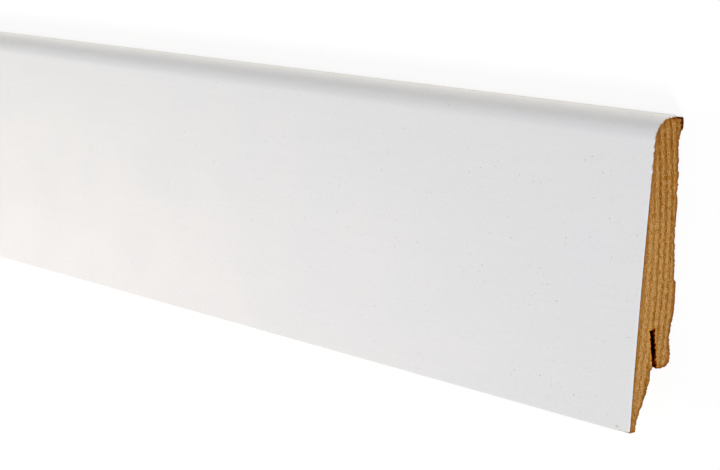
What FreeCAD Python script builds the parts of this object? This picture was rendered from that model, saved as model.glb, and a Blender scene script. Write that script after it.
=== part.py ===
import FreeCAD, Part
import math
import os

import Sketcher

# Skirting board length: a moulded wood core with thin white decor foil laminated round its face.
# The board lies on its back, with the white face up.
# X runs along the board. Y runs up the board as it stands on a wall, from the toe to the nose.
# Z runs out from the wall plane, from the back at zero to the white face.
# The origin is in the middle of the board's footprint.
# Every section sketch measures "up" from the toe's bottom edge and "out" from the wall plane.

SIZES = [
    ("board_length", 2400, "stock length"),
    ("board_height", 80, "toe to nose"),
    ("board_thickness", 16, "wall plane to the foremost line of the face"),
    ("foil_thickness", 0.3, "decor foil"),
    ("front_setback", 5.35, "how far the face leans back from the toe to the top"),
    ("front_radius", 1600, "slight crown of the face"),
    ("nose_radius", 6.5, "rounded top of the face, over the foil"),
    ("back_edge_radius", 0.7, "top corner at the wall"),
    ("lip_height", 3.4, "wall lip, down from the top"),
    ("lip_slope", 2.4, "height of the slope from the lip to the relief"),
    ("relief_depth", 1.6, "hollow of the back, under the lip"),
    ("relief_foot_depth", 1, "the same hollow, above the rib"),
    ("relief_radius", 2, "coves at both ends of the relief"),
    ("rib_top", 36.9, "top of the bearing rib's land, above the toe"),
    ("rib_land", 4.9, "height of the bearing rib's land"),
    ("rib_upper_slope", 1.1, "height of the slope above the rib"),
    ("rib_lower_slope", 8.5, "height of the slope below the rib"),
    ("rib_radius", 1, "upper corner of the rib"),
    ("rib_lower_radius", 15, "long soft turns from the rib to the tongue"),
    ("tongue_inset", 1.4, "back of the clip tongue, in from the wall plane"),
    ("tongue_bottom", 15.4, "tip of the clip tongue, above the toe"),
    ("tongue_thickness", 4.8, "tip of the clip tongue, from its back to the slot"),
    ("tongue_radius", 2, "rounded back corner of the tongue's tip"),
    ("slot_width", 1.7, "clip slot"),
    ("slot_depth", 10.5, "clip slot, along its slant"),
    ("slot_slant", 9, "clip slot, degrees towards the face"),
    ("clip_space_depth", 8.75, "rebate under the tongue, in from the wall plane"),
    ("leg_land", 2.9, "upright part of the leg's back, under the slot"),
    ("toe_width", 2.3, "bottom edge of the leg, foil included"),
    ("toe_land", 1.6, "upright part of the toe's back"),
    ("taper_radius", 4, "soft turns at both ends of the leg's taper"),
    ("arris_radius", 0.4, "eased machined corners"),
]

# Numbers that stand for a sketch's origin, and for the start, end and centre of a geometry.
ORIGIN = -1
START = 1
END = 2
CENTRE = 3

OVERRUN = 1  # how far a cutter runs past the board, in millimetres
NEAR = 1e-4  # two places closer than this are the same place

doc = FreeCAD.newDocument("skirting_board_length")
sheet = doc.addObject("Spreadsheet::Sheet", "Sizes")
for row, (alias, value, note) in enumerate(SIZES, start=1):
    sheet.set(f"A{row}", alias)
    sheet.set(f"B{row}", str(value))
    sheet.set(f"C{row}", note)
    sheet.setAlias(f"B{row}", alias)
doc.recompute()


def number(text):
    """The value of an expression on the sheet."""
    return float(sheet.evalExpression(text))


# Sketches of the section

def section_sketch(body, name):
    """An empty sketch across the board, its x up the board from the toe and its y out from the wall."""
    sketch = body.newObject("Sketcher::SketchObject", name)
    planes = body.Origin.OriginFeatures
    plane = next(feature for feature in planes if feature.Role == "YZ_Plane")
    sketch.AttachmentSupport = [(plane, "")]
    sketch.MapMode = "FlatFace"
    sketch.setExpression("AttachmentOffset.Base.x", "-Sizes.board_height / 2")
    sketch.Visibility = False
    return sketch


def hold(sketch, kind, geometry, end, text):
    """Sets the distance of a geometry's end from the sketch's origin to an expression."""
    distance = Sketcher.Constraint(kind, ORIGIN, START, geometry, end, number(text))
    index = sketch.addConstraint(distance)
    sketch.setExpression(f"Constraints[{index}]", text)


def hold_corner(sketch, geometry, end, corner):
    """Puts a geometry's end at a corner, given as its pair of expressions, up and out."""
    up, out = corner
    hold(sketch, "DistanceX", geometry, end, up)
    hold(sketch, "DistanceY", geometry, end, out)


def tie(sketch, geometry, end, other, other_end):
    """Makes the ends of two geometries one point."""
    sketch.addConstraint(Sketcher.Constraint("Coincident", geometry, end, other, other_end))


def draw_line(sketch, first, last):
    """A straight line between two corners, not yet held."""
    ends = [FreeCAD.Vector(number(up), number(out), 0) for up, out in (first, last)]
    return sketch.addGeometry(Part.LineSegment(*ends))


def draw_outline(sketch, corners):
    """A closed outline of straight lines from corner to corner."""
    following = corners[1:] + corners[:1]
    lines = [draw_line(sketch, *pair) for pair in zip(corners, following)]
    for line, next_line, corner in zip(lines, lines[1:] + lines[:1], corners):
        tie(sketch, line, END, next_line, START)
        hold_corner(sketch, line, START, corner)


def draw_held_line(sketch, first, last):
    """A straight line with both its ends held."""
    line = draw_line(sketch, first, last)
    hold_corner(sketch, line, START, first)
    hold_corner(sketch, line, END, last)
    return line


def join(sketch, geometry, end, other, other_end):
    """A straight line from the end of one geometry to the end of another."""
    ends = sketch.getPoint(geometry, end), sketch.getPoint(other, other_end)
    line = sketch.addGeometry(Part.LineSegment(*ends))
    tie(sketch, line, START, geometry, end)
    tie(sketch, line, END, other, other_end)


def face_centre():
    """Where the face's crown has its centre, from the chord that runs from the toe to the top."""
    height = number("Sizes.board_height")
    setback = number("Sizes.front_setback")
    half_chord = math.hypot(height, setback) / 2
    lean = math.atan2(setback, height)
    reach = math.sqrt(number("Sizes.front_radius") ** 2 - half_chord**2)
    middle_out = number("Sizes.board_thickness") - setback / 2
    return FreeCAD.Vector(height / 2 - reach * math.sin(lean), middle_out - reach * math.cos(lean), 0)


def draw_face_line(sketch, depth):
    """The crowned line at a depth under the foil's outside, from as deep under the top to the toe."""
    centre = face_centre()
    radius = number(f"Sizes.front_radius - {depth}")
    top = number(f"Sizes.board_height - {depth}")
    circle = Part.Circle(centre, FreeCAD.Vector(0, 0, 1), radius)
    angles = [math.acos((up - centre.x) / radius) for up in (top, 0)]
    arc = sketch.addGeometry(Part.ArcOfCircle(circle, *angles))
    index = sketch.addConstraint(Sketcher.Constraint("Radius", arc, radius))
    sketch.setExpression(f"Constraints[{index}]", f"Sizes.front_radius - {depth}")
    hold(sketch, "DistanceX", arc, START, f"Sizes.board_height - {depth}")
    hold(sketch, "DistanceX", arc, END, "0")
    return arc


def draw_face(sketch):
    """The outside and the inside of the foil over the face, two arcs about one centre."""
    outside = draw_face_line(sketch, "0")
    inside = draw_face_line(sketch, "Sizes.foil_thickness")
    hold(sketch, "DistanceY", outside, START, "Sizes.board_thickness - Sizes.front_setback")
    hold(sketch, "DistanceY", outside, END, "Sizes.board_thickness")
    tie(sketch, outside, CENTRE, inside, CENTRE)
    return outside, inside


# Features

def pad(body, name, sketch):
    """Runs a section along the whole board."""
    feature = body.newObject("PartDesign::Pad", name)
    feature.Profile = sketch
    feature.SideType = "Symmetric"
    feature.setExpression("Length", "Sizes.board_length")
    doc.recompute()


def pocket(body, name, corners):
    """One cutter's pass along the whole board, which clears the outline of corners."""
    before = body.Shape.Volume
    sketch = section_sketch(body, f"{name}_section")
    draw_outline(sketch, corners)
    feature = body.newObject("PartDesign::Pocket", name)
    feature.Profile = sketch
    feature.SideType = "Symmetric"
    feature.setExpression("Length", f"Sizes.board_length + 2 * {OVERRUN}")
    doc.recompute()
    if not body.Shape.Volume < before:
        raise RuntimeError(f"{name} cuts nothing")


def place_of(corner):
    """A corner's pair of expressions as a pair of numbers."""
    return tuple(number(text) for text in corner)


def long_edge(shape, place):
    """The name of the edge that runs along the board at a place in the section."""
    up, out = place
    middle = FreeCAD.Vector(0, up - number("Sizes.board_height") / 2, out)
    for index, edge in enumerate(shape.Edges, start=1):
        if edge.CenterOfMass.distanceToPoint(middle) < NEAR:
            return f"Edge{index}"
    raise RuntimeError(f"no edge runs along the board at {place}")


def fillet(body, name, places, radius):
    """Rounds the edges that run along the board at places."""
    base = body.Tip
    feature = body.newObject("PartDesign::Fillet", name)
    feature.Base = (base, [long_edge(base.Shape, place) for place in places])
    feature.setExpression("Radius", radius)
    doc.recompute()


# Corners of the section, each as its pair of expressions, up the board and out from the wall

past_back = f"-{OVERRUN}"
below_toe = f"-{OVERRUN}"
core_top = "Sizes.board_height - Sizes.foil_thickness"
lip_bottom = "Sizes.board_height - Sizes.lip_height"
relief_head = f"{lip_bottom} - Sizes.lip_slope"
rib_bottom = "Sizes.rib_top - Sizes.rib_land"
leg_bottom = "Sizes.tongue_bottom - Sizes.leg_land"
slot_out = "Sizes.tongue_inset + Sizes.tongue_thickness"
toe_out = "Sizes.board_thickness - Sizes.toe_width"

top_back = (core_top, "0")
bottom_back = ("0", "0")
lip_corner = (lip_bottom, "0")
relief_top = (relief_head, "Sizes.relief_depth")
relief_bottom = ("Sizes.rib_top + Sizes.rib_upper_slope", "Sizes.relief_foot_depth")
rib_upper_corner = ("Sizes.rib_top", "0")
rib_lower_corner = (rib_bottom, "0")
tongue_top = (f"{rib_bottom} - Sizes.rib_lower_slope", "Sizes.tongue_inset")
tongue_corner = ("Sizes.tongue_bottom", "Sizes.tongue_inset")
slot_mouth = ("Sizes.tongue_bottom", slot_out)
leg_top = ("Sizes.tongue_bottom", "Sizes.clip_space_depth")
taper_top = (leg_bottom, "Sizes.clip_space_depth")
taper_bottom = ("Sizes.toe_land", toe_out)
toe_back = ("0", toe_out)
foil_end_outside = ("Sizes.board_height", "Sizes.back_edge_radius")
foil_end_inside = (core_top, "Sizes.back_edge_radius")
core_nose_radius = "Sizes.nose_radius - Sizes.foil_thickness"


def slot_corner(along, across):
    """A corner of the slanted slot, along it from its mouth and across it from its back wall."""
    cosine = "cos(Sizes.slot_slant * 1 deg)"
    sine = "sin(Sizes.slot_slant * 1 deg)"
    return (
        f"Sizes.tongue_bottom + {along} * {cosine} - {across} * {sine}",
        f"{slot_out} + {along} * {sine} + {across} * {cosine}",
    )


def make_wood_core():
    """The moulded wood: a blank with its face line, the passes over its back, then the rounded corners."""
    body = doc.addObject("PartDesign::Body", "wood_core")
    body.Label = "wood_core"

    blank = section_sketch(body, "blank_section")
    outside, inside = draw_face(blank)
    blank.toggleConstruction(outside)
    back = draw_held_line(blank, top_back, bottom_back)
    join(blank, inside, START, back, START)
    join(blank, back, END, inside, END)
    nose = blank.getPoint(inside, START)
    pad(body, "blank", blank)

    pocket(body, "back_relief", [
        (lip_bottom, past_back),
        lip_corner,
        relief_top,
        relief_bottom,
        rib_upper_corner,
        ("Sizes.rib_top", past_back),
    ])
    pocket(body, "tongue_relief", [
        (rib_bottom, past_back),
        rib_lower_corner,
        tongue_top,
        tongue_corner,
        ("Sizes.tongue_bottom", past_back),
    ])
    pocket(body, "clip_space", [
        ("Sizes.tongue_bottom", past_back),
        leg_top,
        taper_top,
        taper_bottom,
        (below_toe, toe_out),
        (below_toe, past_back),
    ])
    pocket(body, "clip_slot", [
        slot_corner("0", "0"),
        slot_corner("Sizes.slot_depth", "0"),
        slot_corner("Sizes.slot_depth", "Sizes.slot_width"),
        slot_corner("0", "Sizes.slot_width"),
    ])

    fillet(body, "nose_round", [(nose.x, nose.y)], core_nose_radius)
    fillet(body, "back_edge", [place_of(top_back)], "Sizes.back_edge_radius")
    fillet(body, "relief_coves", [place_of(relief_top), place_of(relief_bottom)], "Sizes.relief_radius")
    fillet(body, "rib_corner", [place_of(rib_upper_corner)], "Sizes.rib_radius")
    fillet(body, "rib_foot", [place_of(rib_lower_corner), place_of(tongue_top)], "Sizes.rib_lower_radius")
    fillet(body, "tongue_tip", [place_of(tongue_corner)], "Sizes.tongue_radius")
    fillet(body, "leg_taper", [place_of(taper_top), place_of(taper_bottom)], "Sizes.taper_radius")
    arrises = [lip_corner, slot_mouth, toe_back]
    fillet(body, "arrises", [place_of(corner) for corner in arrises], "Sizes.arris_radius")
    return body


def make_decor_foil():
    """The white foil: a strip over the face, nose and top, cut flush at the toe and short of the wall."""
    body = doc.addObject("PartDesign::Body", "decor_foil")
    body.Label = "decor_foil"

    strip = section_sketch(body, "foil_section")
    outside, inside = draw_face(strip)
    end = draw_held_line(strip, foil_end_outside, foil_end_inside)
    join(strip, outside, START, end, START)
    join(strip, end, END, inside, START)
    join(strip, inside, END, outside, END)
    nose_outside = strip.getPoint(outside, START)
    nose_inside = strip.getPoint(inside, START)
    pad(body, "strip", strip)

    fillet(body, "nose_outside", [(nose_outside.x, nose_outside.y)], "Sizes.nose_radius")
    fillet(body, "nose_inside", [(nose_inside.x, nose_inside.y)], core_nose_radius)
    return body


def check(bodies):
    """Stops the build if anything in the document failed, or if a piece isn't one sound solid."""
    doc.recompute()
    for feature in doc.Objects:
        if {"Invalid", "Error"} & set(feature.State):
            raise RuntimeError(f"{feature.Name} failed: {feature.State}")
    for body in bodies:
        shape = body.Shape
        if shape.isNull() or not shape.isValid() or len(shape.Solids) != 1:
            raise RuntimeError(f"{body.Label} isn't one sound solid")


def export(bodies):
    """Writes each piece under its own name."""
    os.makedirs("parts", exist_ok=True)
    for body in bodies:
        body.Shape.exportStep(f"parts/{body.Label}.step")
        print(f"{body.Label}: {body.Shape.Volume / 1000:.1f} cm3, {body.Shape.BoundBox}")


pieces = [make_wood_core(), make_decor_foil()]
check(pieces)
export(pieces)
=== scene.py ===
import math

import bpy
import numpy as np
from mathutils import Matrix, Vector, noise
from mathutils.geometry import delaunay_2d_cdt


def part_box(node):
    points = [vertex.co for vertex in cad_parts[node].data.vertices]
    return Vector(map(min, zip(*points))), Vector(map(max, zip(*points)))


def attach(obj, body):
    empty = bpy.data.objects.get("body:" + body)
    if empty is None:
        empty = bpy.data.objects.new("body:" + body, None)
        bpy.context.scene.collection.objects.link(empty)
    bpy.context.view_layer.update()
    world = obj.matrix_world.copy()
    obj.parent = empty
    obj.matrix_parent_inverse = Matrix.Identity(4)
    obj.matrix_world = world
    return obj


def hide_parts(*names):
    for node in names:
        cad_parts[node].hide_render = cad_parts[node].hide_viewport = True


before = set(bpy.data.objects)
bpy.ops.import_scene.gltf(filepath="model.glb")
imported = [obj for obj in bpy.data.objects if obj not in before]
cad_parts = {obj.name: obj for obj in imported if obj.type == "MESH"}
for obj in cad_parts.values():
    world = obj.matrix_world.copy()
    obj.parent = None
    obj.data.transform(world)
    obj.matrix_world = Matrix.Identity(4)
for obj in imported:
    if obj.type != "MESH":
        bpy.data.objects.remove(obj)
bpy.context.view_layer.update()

# A skirting board length lying on its back: a moulded wood core with sawn ends, wrapped in white foil.
# Sizes are in millimetres until a mesh is made. Up is measured from the toe, out from the wall plane.
MM = 0.001
core_low, core_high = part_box("wood_core")
HALF_LENGTH = core_high[0] / MM
TOE_Y = core_low[1] / MM

# Section of the board
BOARD_HEIGHT = 80.0
BOARD_THICKNESS = 16.0
FOIL_THICKNESS = 0.3
FACE_RADIUS = 1600.0
FACE_SETBACK = 5.35
NOSE_RADIUS = 6.5
SLOT_MOUTH_UP = 15.4
SLOT_MOUTH_OUT = 6.2
SLOT_WIDTH = 1.7
SLOT_DEPTH = 10.5
SLOT_SLANT = math.radians(9.0)
TONGUE_BACK_OUT = 1.4
LEG_OUT = 8.75
TOE_OUT = 13.7
# The lip's back corner is rounded up to here, where the foil's border lies on the top edge
BORDER_OUT = 0.7
# Points above this height lie on the top edge or at the lip
TOP_EDGE_UP = BOARD_HEIGHT - 1
# Room between the core's covered skin and the foil
GLUE_LINE = 0.02

# Spacing of the mesh: along the section, over a sawn end, and along the board from each end inwards
RAW_STEP = 0.4
COVERED_STEP = 1.0
CAP_STEP = 0.42
NEAR_END = (0, 0.12, 0.3, 0.55, 0.9, 1.4, 2.1, 3.1, 4.6, 7, 11, 17, 27, 40, 55)
LONG_STEP = 22.0
# A stretch that is longer than whole steps by less than this share of a step gets no extra point
SPARE_STEP = 0.01
SHARP_ANGLE = math.radians(42)
# Points scattered over a sawn end, in steps: how far rows are apart, how far points stray, room at the edge
CAP_ROW = 0.87
CAP_STRAY = 0.3
CAP_CLEAR = 0.45
# The seeds of the scattered points, for the hidden and the visible end
CAP_SEEDS = (5, 6)
# What the filling of a sawn end is told: to fill the outline's inside only, and which points are the same
FILL_INSIDE = 1
SAME_POINT = 1e-6
# The least squared length of a stretch, so that nothing is divided by zero
NO_LENGTH = 1e-12

# Growth rings, seen as lines on the sawn ends
PITH_Y = 6.5
PITH_Z = 205.0
RING_WIDTH = 2.35
RING_START = 0.4
# Waves in the rings: how high, how long along the board and how wide over the section
RING_WAVES = ((0.14, 220, 13), (0.16, 90, 2.2))
# The rings' slow drift along the board
RING_DRIFT = 2.5
DRIFT_LENGTH = 350
# Relief of the sawn wood: its mean depth, the dip in the middle of each ring and the dip of single grains
CAP_DEPTH = 0.035
RING_DIP = 0.035
GRAIN_DIP = 0.03

# Fibres of the moulded back: their mean depth, and the depth of long and of fine streaks
FIBRE_DEPTH = 0.035
LONG_STREAK = 0.03
FINE_STREAK = 0.02

# The back's edge at the visible sawn end: heights, and how far it lies inside the moulded line there.
# Below zero it stands proud.
TORN_EDGE = (
    (0.5, -0.2), (1.0, -0.15), (3.3, 0.06), (4.2, -0.08), (5.3, 0.4), (5.9, -0.15), (6.5, -0.05),
    (7.0, -0.15), (7.7, 0.1), (8.3, -0.2), (9.1, -0.18), (11.1, 0.06), (13.0, -0.12), (15.0, -0.06),
    (18.2, -0.5), (20.2, -0.2), (21.5, 0.2), (22.2, 0.0), (23.2, 0.36), (24.4, 0.05), (25.7, 0.12),
    (27.0, 0.05), (29.0, -0.3), (31.0, -0.1), (34.0, -0.12), (38.5, -0.2), (42.0, -0.3), (45.5, 0.08),
    (46.8, -0.18), (48.0, 0.32), (49.0, -0.02), (50.4, 0.12), (53.3, -0.08), (55.0, -0.25), (56.5, -0.35),
    (58.6, -0.5), (60.4, 0.02), (62.2, -0.42), (63.5, -0.2), (64.8, -0.65), (66.3, -0.35), (67.5, -0.05),
    (68.8, -0.38), (70.3, -0.12), (71.0, 0.05), (74.0, -0.14), (75.4, 0.1), (76.0, 0.4), (76.5, 0.0),
    (77.0, -0.25), (78.9, -0.2), (79.2, 0.1), (80.0, 0.15),
)
# How far the tears reach in along the board, how ragged they are, and how deep they go at the hidden end
TEAR_LENGTH = 2.4
TEAR_RAGGED = 0.2
HIDDEN_TEAR = 0.2
# Short teeth of fibre on the torn edge
TOOTH_WIDTH = 0.37
TOOTH_DEPTH = 0.42
TOOTH_LENGTH = 0.9
# Rough walls of the slot at the saw cut, and how much higher its end is torn there
SLOT_ROUGH = 0.6
SLOT_RAGGED = 0.25
SLOT_END_UP = 25.3
SLOT_END_TORN = 0.3
# The thin strip under the slot is torn up at the saw cut: how far, and up to what height above the mouth
STRIP_TEAR = 0.6
STRIP_REACH = 3.0
# A hump of fibres and glue on the lip's top at the saw cut, with a dip beside it
HUMP_OUT = 1.0
HUMP_WIDTH = 0.45
HUMP_HEIGHT = 0.34
DIP_OUT = 2.2
DIP_WIDTH = 1.5
DIP_DEPTH = 0.22
LIP_WEAR_LENGTH = 1.2

# Strokes of old glue on the sawn end: both ends as (up, out), and the width at each
GLUE_STROKES = (
    ((76.7, 0.0), (79.7, 0.3), 1.3, 1.4),
    ((79.7, 0.3), (79.65, 4.0), 0.5, 0.15),
)
# The share of the glue that stays all along the lip, and how fast the rest thins out from the saw cut
GLUE_ALONG = 0.1
GLUE_LENGTH = 9

# The dark band of the sawn end is fainter beside the foil, and darkest a little way in from it
BESIDE_FOIL_START = 0.6
BESIDE_FOIL_RISE = 0.6
BESIDE_FOIL_IN = 0.55

# The chip at the foil's toe on the visible end. The foil below the chip's foot moves with it.
CHIP_LENGTH = 3.5
CHIP_HEIGHT = 0.45
CHIP_CURVE = 0.7
CHIP_MEAN = 0.75
CHIP_RAGGED = 0.4
CHIP_FOOT = 1.5
# How far the saw's teeth pulled the foil's edge in, how fast that fades, and where it stops
SAW_PULL = 0.09
PULL_LENGTH = 0.3
PULL_REACH = 1.0
# A burr of foil pressed into the wood: its height, width and depth. Only points this near the cut have it.
FOIL_BURR_UP = 66.6
FOIL_BURR_WIDTH = 0.35
FOIL_BURR_IN = 0.32
AT_CUT = 0.05
# The foil's border is nibbled away beside the lip: how far out at the cut, and how far along the board
NIBBLE_OUT = 3.1
NIBBLE_LENGTH = 2.0
TOP_FLAT_OUT = 4.0
FAR_FROM_BORDER = 9.0
# The cut edge of the foil is clean below this height, and less and less so towards it
CLEAN_UP = 68.0
CLEAN_WANDER = 3.0
CLEAN_FADE = 26.0
CLEAN_LEAST = 0.25


def wobble(across, along=0.0, width=1.0, length=1.0, pattern=0.0):
    """Smooth noise from about -1 to 1, of a width and a length. Each pattern number gives another field."""
    return noise.noise(Vector((across / width, along / length, pattern)))


def slot_corner(along, across):
    """A corner of the clip slot, measured along its slant and across it from the mouth."""
    cosine, sine = math.cos(SLOT_SLANT), math.sin(SLOT_SLANT)
    up = SLOT_MOUTH_UP + along * cosine - across * sine
    out = SLOT_MOUTH_OUT + along * sine + across * cosine
    return up, out


def with_fillets(corners):
    """Points through (up, out, radius, part) corners, each corner with a radius rounded off."""
    run = []
    for before, corner, after in zip(corners, corners[1:], corners[2:]):
        here = Vector(corner[:2])
        radius, part = corner[2:]
        if radius == 0:
            run.append((here.x, here.y, part))
            continue
        back_way = (Vector(before[:2]) - here).normalized()
        on_way = (Vector(after[:2]) - here).normalized()
        half = back_way.angle(on_way) / 2
        start = here + back_way * radius / math.tan(half)
        finish = here + on_way * radius / math.tan(half)
        centre = here + (back_way + on_way).normalized() * radius / math.sin(half)
        turn = math.pi - 2 * half
        pieces = max(2, math.ceil(turn * radius / RAW_STEP))
        for number in range(pieces + 1):
            share = number / pieces
            first = math.sin((1 - share) * turn) / math.sin(turn)
            second = math.sin(share * turn) / math.sin(turn)
            point = centre + (start - centre) * first + (finish - centre) * second
            run.append((point.x, point.y, part))
    return run


def covered_run(inset, step):
    """Points over the top, round the nose and down the face to the toe, inset from the foil's outer skin."""
    half_chord = math.hypot(BOARD_HEIGHT, FACE_SETBACK) / 2
    lean = math.atan2(FACE_SETBACK, BOARD_HEIGHT)
    reach = math.sqrt(FACE_RADIUS ** 2 - half_chord ** 2)
    centre_up = BOARD_HEIGHT / 2 - reach * math.sin(lean)
    centre_out = BOARD_THICKNESS - FACE_SETBACK / 2 - reach * math.cos(lean)
    nose_up = BOARD_HEIGHT - NOSE_RADIUS
    nose_out = centre_out + math.sqrt((FACE_RADIUS - NOSE_RADIUS) ** 2 - (nose_up - centre_up) ** 2)
    radius = NOSE_RADIUS - inset
    top = nose_up + radius
    run = []
    top_pieces = math.ceil((nose_out - BORDER_OUT) / step)
    for number in range(1, top_pieces):
        run.append((top, BORDER_OUT + (nose_out - BORDER_OUT) * number / top_pieces))
    nose_end = math.atan2(nose_out - centre_out, nose_up - centre_up)
    nose_pieces = math.ceil(nose_end * radius / RAW_STEP)
    for number in range(nose_pieces):
        angle = nose_end * number / nose_pieces
        run.append((nose_up + radius * math.cos(angle), nose_out + radius * math.sin(angle)))
    reach = FACE_RADIUS - inset
    face_end = math.acos(-centre_up / reach)
    face_pieces = math.ceil((face_end - nose_end) * reach / step)
    for number in range(face_pieces + 1):
        angle = nose_end + (face_end - nose_end) * number / face_pieces
        run.append((centre_up + reach * math.cos(angle), centre_out + reach * math.sin(angle)))
    return run


def raw_run():
    """Points of the bare moulded back, from the toe up to the lip, with the part that each belongs to."""
    slot_front = SLOT_MOUTH_OUT + SLOT_WIDTH / math.cos(SLOT_SLANT)
    top = BOARD_HEIGHT - FOIL_THICKNESS
    # Toe, leg, slot, tongue, bearing rib, back relief and lip, with how far each corner is rounded.
    # The first and the last only give the way to and from their neighbours.
    corners = [
        (0.0, BOARD_THICKNESS - FOIL_THICKNESS, 0, "back"),
        (0.0, TOE_OUT, 0.4, "back"),
        (1.6, TOE_OUT, 4.0, "back"),
        (12.5, LEG_OUT, 4.0, "back"),
        (SLOT_MOUTH_UP, LEG_OUT, 0, "back"),
        (SLOT_MOUTH_UP, slot_front, 0, "strip"),
        (*slot_corner(SLOT_DEPTH, SLOT_WIDTH), 0, "slot"),
        (*slot_corner(SLOT_DEPTH, 0), 0, "slot"),
        (SLOT_MOUTH_UP, SLOT_MOUTH_OUT, 0.4, "slot"),
        (SLOT_MOUTH_UP, TONGUE_BACK_OUT, 2.0, "back"),
        (23.5, TONGUE_BACK_OUT, 15.0, "back"),
        (32.0, 0.0, 15.0, "back"),
        (37.2, 0.0, 0.5, "back"),
        (37.75, 1.0, 0.5, "back"),
        (74.2, 1.6, 2.0, "back"),
        (76.6, 0.0, 0.4, "back"),
        (top, 0.0, BORDER_OUT, "back"),
        (top, 3.0, 0, "back"),
    ]
    return with_fillets(corners)


def spaced(run):
    """The closed run with points added on its long stretches, so that none is longer than its step."""
    result = []
    for start, finish in zip(run, run[1:] + run[:1]):
        length = math.hypot(finish[0] - start[0], finish[1] - start[1])
        part = finish[2] if start[2] in ("slot", "strip") else start[2]
        step = COVERED_STEP if part == "covered" else RAW_STEP
        pieces = max(1, math.ceil(length / step - SPARE_STEP))
        for number in range(pieces):
            share = number / pieces
            up = start[0] + (finish[0] - start[0]) * share
            out = start[1] + (finish[1] - start[1]) * share
            result.append((up, out, start[2] if number == 0 else part))
    return result


def stations():
    """Places along the board, in millimetres from its middle, close together at both ends."""
    middle = HALF_LENGTH - NEAR_END[-1]
    pieces = math.ceil(2 * middle / LONG_STEP)
    places = [-HALF_LENGTH + distance for distance in NEAR_END[:-1]]
    places += [-middle + 2 * middle * number / pieces for number in range(pieces + 1)]
    places += [HALF_LENGTH - distance for distance in reversed(NEAR_END[:-1])]
    return places


def torn_edge(up):
    """Depth of the torn fibres at this height on the visible end."""
    heights, depths = zip(*TORN_EDGE)
    return float(np.interp(up, heights, depths))


def moulded_wear(up, run_length, part, x):
    """How far a point of the raw back lies inside the moulded line, by its fibres and the tears at a cut."""
    from_end = HALF_LENGTH - abs(x)
    streak = wobble(run_length, x, width=0.9, length=70, pattern=3.1)
    fine_streak = wobble(run_length, x, width=0.45, length=25, pattern=8.7)
    fibres = FIBRE_DEPTH + LONG_STREAK * streak + FINE_STREAK * fine_streak
    fade = math.exp(-from_end / TEAR_LENGTH)
    ragged = wobble(run_length, from_end, width=0.7, length=1.3, pattern=21.0 + math.copysign(5, x))
    if part == "slot":
        rough_wall = wobble(run_length, from_end, width=0.65, length=0.8, pattern=40.0)
        torn_end = SLOT_END_TORN if up > SLOT_END_UP else 0.0
        return FINE_STREAK * fine_streak + fade * (SLOT_ROUGH * rough_wall + SLOT_RAGGED * ragged + torn_end)
    if part == "strip":
        return max(0.0, fibres)
    tear = torn_edge(up) if x > 0 else HIDDEN_TEAR * wobble(run_length, width=1.6, pattern=60.0)
    tooth = wobble(run_length, from_end, width=TOOTH_WIDTH, length=2, pattern=33.0)
    tooth *= TOOTH_DEPTH * math.exp(-from_end / TOOTH_LENGTH)
    return max(0.0, fibres) + fade * (tear + TEAR_RAGGED * ragged) + tooth


def strip_torn_up(up, out, part, x):
    """How far up the thin strip between the leg and the slot is torn away at a sawn end."""
    slot_middle = SLOT_MOUTH_OUT + SLOT_WIDTH / 2 + (up - SLOT_MOUTH_UP) * math.tan(SLOT_SLANT)
    if part in ("back", "covered") or out < slot_middle:
        return 0.0
    share = max(0.0, 1 - (up - SLOT_MOUTH_UP) / STRIP_REACH)
    return STRIP_TEAR * share * math.exp((abs(x) - HALF_LENGTH) / TEAR_LENGTH)


def lip_wear(up, out, x):
    """How far the lip's top stands up, or below zero lies down, at the visible end's saw cut."""
    if x < 0 or up < TOP_EDGE_UP:
        return 0.0
    hump = HUMP_HEIGHT * math.exp(-((out - HUMP_OUT) / HUMP_WIDTH) ** 2)
    dip = DIP_DEPTH * math.exp(-((out - DIP_OUT) / DIP_WIDTH) ** 2)
    return (hump - dip) * math.exp((x - HALF_LENGTH) / LIP_WEAR_LENGTH)


def ring_number(x, y, z):
    """The growth ring at a point, counted out from the pith. Its fraction is the place inside the ring."""
    radius = math.hypot(y - PITH_Y, z - PITH_Z)
    waves = 0.0
    for height, length, width in RING_WAVES:
        waves += height * noise.noise(Vector((x / length, y / width, z / width)))
    drift = RING_DRIFT * wobble(HALF_LENGTH - x, width=DRIFT_LENGTH)
    return (radius + waves + drift) / RING_WIDTH + RING_START


def glue_stain(up, out, x):
    """Glue that was squeezed out along the lip under the foil's edge, thickest at the saw cut."""
    here = Vector((up, out))
    darkest = 0.0
    for start, finish, first_width, last_width in GLUE_STROKES:
        way = Vector(finish) - Vector(start)
        share = max(0.0, min(1.0, (here - Vector(start)).dot(way) / way.length_squared))
        gap = (here - Vector(start) - way * share).length
        width = first_width + (last_width - first_width) * share
        darkest = max(darkest, 1.0 - gap / width)
    from_end = HALF_LENGTH - abs(x)
    return darkest * (GLUE_ALONG + (1 - GLUE_ALONG) * math.exp(-from_end / GLUE_LENGTH))


def inward_normals(points):
    """Unit normals into the section, for a closed run of points that goes round it against the clock."""
    travel = np.roll(points, -1, axis=0) - np.roll(points, 1, axis=0)
    travel /= np.linalg.norm(travel, axis=1)[:, None]
    return np.stack([-travel[:, 1], travel[:, 0]], axis=1)


def distances(points, line):
    """Distance from each point to each stretch of a closed line."""
    ways = np.roll(line, -1, axis=0) - line
    squares = np.maximum((ways ** 2).sum(1), NO_LENGTH)
    to_point = points[:, None, :] - line[None]
    share = np.clip((to_point * ways[None]).sum(2) / squares, 0, 1)
    return np.linalg.norm(to_point - share[..., None] * ways[None], axis=2)


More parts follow.
